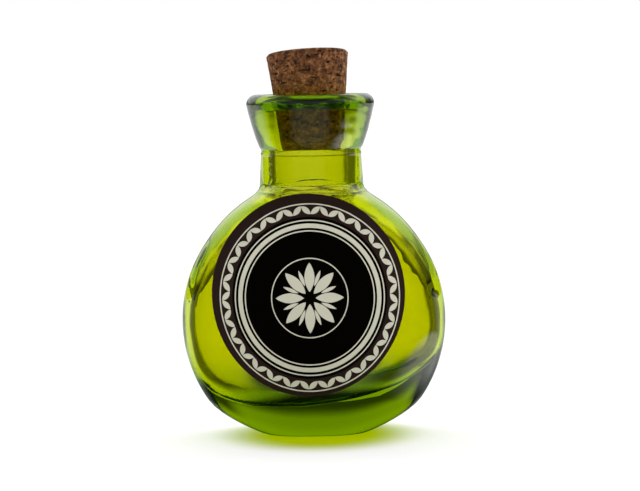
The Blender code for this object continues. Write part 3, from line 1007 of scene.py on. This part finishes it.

# Ovals on the floor, each a centre, a half width and depth, and where its edge fades: a painted glow and a
# painted shadow.
# A painted pool of yellow-green light round the foot, where the glass would throw its light.
PAINTED_GLOW = ((0.0012, -0.008), (0.0262, 0.0300), (0.50, 1.30))
PAINTED_GLOW_COLOUR = (0.45, 0.54, 0.0, 1.0)
# A painted shadow under and behind the foot, dark for the glass and for the light that the floor throws back.
PAINTED_SHADE = ((0.0, 0.022), (0.0200, 0.0330), (0.80, 1.25))
PAINTED_SHADE_COLOUR = (0.010, 0.014, 0.0, 1.0)

# From here on, a level of 1 is the light of white paper, and a span is where a level fades into the next.
# Through the glass, the floor's colour is painted bright in a wedge behind the bottle, between two turns
# about a point, and painted darker round it.
BEAM_FROM = (0.004, -0.045)
BEAM_LEFT = (math.radians(-42), math.radians(-32))
BEAM_RIGHT = (math.radians(17), math.radians(27))
BEAM_LEVEL = 1.1
BESIDE_LEFT_LEVEL = 0.15
BESIDE_RIGHT_LEVEL = 0.18
BESIDE_FAR = (0.06, 0.40)
BESIDE_FAR_LEVEL = 0.10
BEFORE = (-0.35, -0.12)
BEFORE_LEVEL = 0.60

# Mirrored in the outside of the glass, the room is bright behind the bottle and dark before it; on the floor
# this is painted into its colour.
# A patch is an oval on the floor and its brightness, a painted reflection for the glass to mirror.
SHEEN_FADE = (-0.05, 0.35)
SHEEN_LEVELS = (0.0, 1.30)
SHEEN_FALL = (0.35, 0.85)
SHEEN_FALLEN_share = 0.60
SHEEN_NEAR = (0.05, 0.15)
SHEEN_NEAR_share = 0.20
PAINTED_REFLECTION_PATCHES = (
    (((0.130, -0.010), (0.085, 0.075), (0.50, 1.20)), 2.0),
    (((0.0, -0.170), (0.130, 0.110), (0.50, 1.20)), 0.32),
)

# Through the glass, the room is a wall behind the bottle, with dim sides, front and ceiling.
BACK_LEFT = (-0.85, -0.60)
BACK_RIGHT = (0.35, 0.60)
BESIDE_LEVEL = 0.15
HORIZON = (0.03, 0.16)
HORIZON_LEVEL = 0.15
RISE = (0.20, 0.45)
RISE_LEVEL = 1.30
WALL_TOP = (0.60, 0.85)
ROOM_LEVEL = 0.10
FRONT_FADE = (-0.3, 0.3)
FRONT_LEVEL = 0.30

# The soft dome that lights the rest, brighter behind and to the right.
DOME_FADE = (-0.4, 0.6)
DOME_LEVELS = (0.15, 1.05)
DOME_SIDES = (0.80, 2.60)
SUN_LEVEL = 1.7
SUN_WIDTH = math.radians(40)
SUN_FROM = (-0.15, 0.40, 0.90)


def floor_material():
    """White paper, with a painted glow for the light that the glass throws round its foot, a painted shadow
    under it, and painted light and shade as the glass sees it.
    """
    made = bpy.data.materials.new("floor")
    shading = Shading(made)
    number, ramp = shading.number, shading.ramp
    place = shading.added("NewGeometry").outputs["Position"]
    across, back, _ = shading.parts(place)
    path, through, first = shading.rays()

    def round_oval(oval):
        """A number that rises from 0 inside an oval on the floor to 1 round it."""
        centre, halves, edge = oval
        out = shading.reach(place, (*centre, 0.0), (*halves, 1.0))
        return ramp(out, edge, (0.0, 1.0), "SMOOTHERSTEP")

    # The painted glow of light round the foot, in the floor's colour.
    painted_glow = shading.mixed(round_oval(PAINTED_GLOW), PAINTED_GLOW_COLOUR, PAPER_COLOUR)
    painted_shade = shading.mixed(round_oval(PAINTED_SHADE), PAINTED_SHADE_COLOUR, painted_glow)
    # Rays from the camera see the painted glow without the painted shadow.
    colour = shading.mixed(path["Is Camera Ray"], painted_shade, painted_glow)

    # Painted light and shade in the floor's colour, for rays that come through the glass.
    beam_x, beam_y = BEAM_FROM
    turn = number("ARCTAN2", number("SUBTRACT", across, beam_x), number("SUBTRACT", back, beam_y))
    left = ramp(turn, BEAM_LEFT, (BESIDE_LEFT_LEVEL, 1.0))
    right = ramp(turn, BEAM_RIGHT, (1.0, BESIDE_RIGHT_LEVEL))
    far = ramp(back, BESIDE_FAR, (0.0, BESIDE_FAR_LEVEL))
    before = ramp(back, BEFORE, (BEFORE_LEVEL, 0.0))
    brightest = number("MAXIMUM", number("MULTIPLY", left, right), number("MAXIMUM", far, before))
    painted_through_level = number("MULTIPLY", brightest, BEAM_LEVEL)

    # Painted reflections: the floor's colour as the outside of the glass mirrors it, with brighter painted
    # patches.
    distance = shading.length(place)
    ahead = number("DIVIDE", back, distance)
    fallen = ramp(ahead, SHEEN_FALL, (1.0, SHEEN_FALLEN_share))
    mirrored = number("MULTIPLY", ramp(ahead, SHEEN_FADE, SHEEN_LEVELS), fallen)
    mirrored = number("MULTIPLY", mirrored, ramp(distance, SHEEN_NEAR, (SHEEN_NEAR_share, 1.0)))
    for oval, brightness in PAINTED_REFLECTION_PATCHES:
        patch = number("MULTIPLY", number("SUBTRACT", 1.0, round_oval(oval)), brightness)
        mirrored = number("MAXIMUM", mirrored, patch)

    # The floor's colour, scaled by the painted light and shade for rays from the glass and its outside.
    painted_colour = shading.added("VectorMath", operation="SCALE")
    shading.feed(painted_colour.inputs[0], colour)
    shading.feed(painted_colour.inputs["Scale"], shading.blend(through, 1.0, shading.blend(first, painted_through_level, mirrored)))
    shading.fill(Base_Color=painted_colour.outputs[0], Roughness=1.0, Specular_IOR_Level=0.0)
    lit = shading.added("Emission")
    shading.feed(lit.inputs["Color"], painted_colour.outputs[0])
    share = number("MULTIPLY", number("MAXIMUM", path["Is Camera Ray"], through), FLOOR_SHINE)
    shading.surface(shading.joined(share, shading.shader.outputs[0], lit.outputs[0]))
    return made


def add_floor():
    """The floor, which belongs to the studio and not to the object."""
    half = FLOOR_SIZE / 2
    corners = [(x, y, -FLOOR_DROP) for x, y in ((-half, -half), (half, -half), (half, half), (-half, half))]
    mesh = bpy.data.meshes.new("floor")
    mesh.from_pydata(corners, [], [(0, 1, 2, 3)])
    mesh.materials.append(floor_material())
    floor = bpy.data.objects.new("floor", mesh)
    bpy.context.scene.collection.objects.link(floor)


def add_world():
    """A white backdrop to the camera, a studio to the glass, and a soft dome that lights the rest."""
    world = bpy.data.worlds.new("studio")
    bpy.context.scene.world = world
    shading = Shading(world)
    number, ramp, blend = shading.number, shading.ramp, shading.blend
    right_way, back_way, up_way = shading.parts(shading.added("TexCoord").outputs["Generated"])
    path, through, first = shading.rays()

    left = ramp(right_way, BACK_LEFT, (BESIDE_LEVEL, 1.0))
    right = ramp(right_way, BACK_RIGHT, (1.0, BESIDE_LEVEL))
    wall = blend(ramp(up_way, RISE, (0.0, 1.0)), number("MULTIPLY", left, right), RISE_LEVEL)
    horizon = ramp(up_way, HORIZON, (HORIZON_LEVEL, 1.0))
    ceiling = ramp(up_way, WALL_TOP, (1.0, ROOM_LEVEL))
    front = ramp(back_way, FRONT_FADE, (FRONT_LEVEL, 1.0))
    studio = number("MULTIPLY", number("MULTIPLY", wall, horizon), number("MULTIPLY", ceiling, front))
    mirrored = ramp(back_way, SHEEN_FADE, SHEEN_LEVELS)
    sides = ramp(right_way, (-1.0, 1.0), DOME_SIDES)
    dome = number("MULTIPLY", ramp(back_way, DOME_FADE, DOME_LEVELS), sides)
    room = blend(through, dome, blend(first, studio, mirrored))
    background = shading.nodes["Background"]
    background.inputs["Color"].default_value = WHITE
    shading.feed(background.inputs["Strength"], blend(path["Is Camera Ray"], room, 1.0))


def add_sun():
    """A broad lamp above and behind, out of the glass's sight."""
    data = bpy.data.lights.new("softbox", "SUN")
    data.energy = SUN_LEVEL
    data.angle = SUN_WIDTH
    lamp = bpy.data.objects.new("softbox", data)
    lamp.rotation_euler = Vector(SUN_FROM).to_track_quat("Z", "Y").to_euler()
    lamp.visible_glossy = lamp.visible_transmission = False
    bpy.context.scene.collection.objects.link(lamp)


add_camera()
add_floor()
add_world()
add_sun()
add_glass()
add_cork()
add_label()
add_print()

bpy.context.scene.view_settings.view_transform = "Standard"
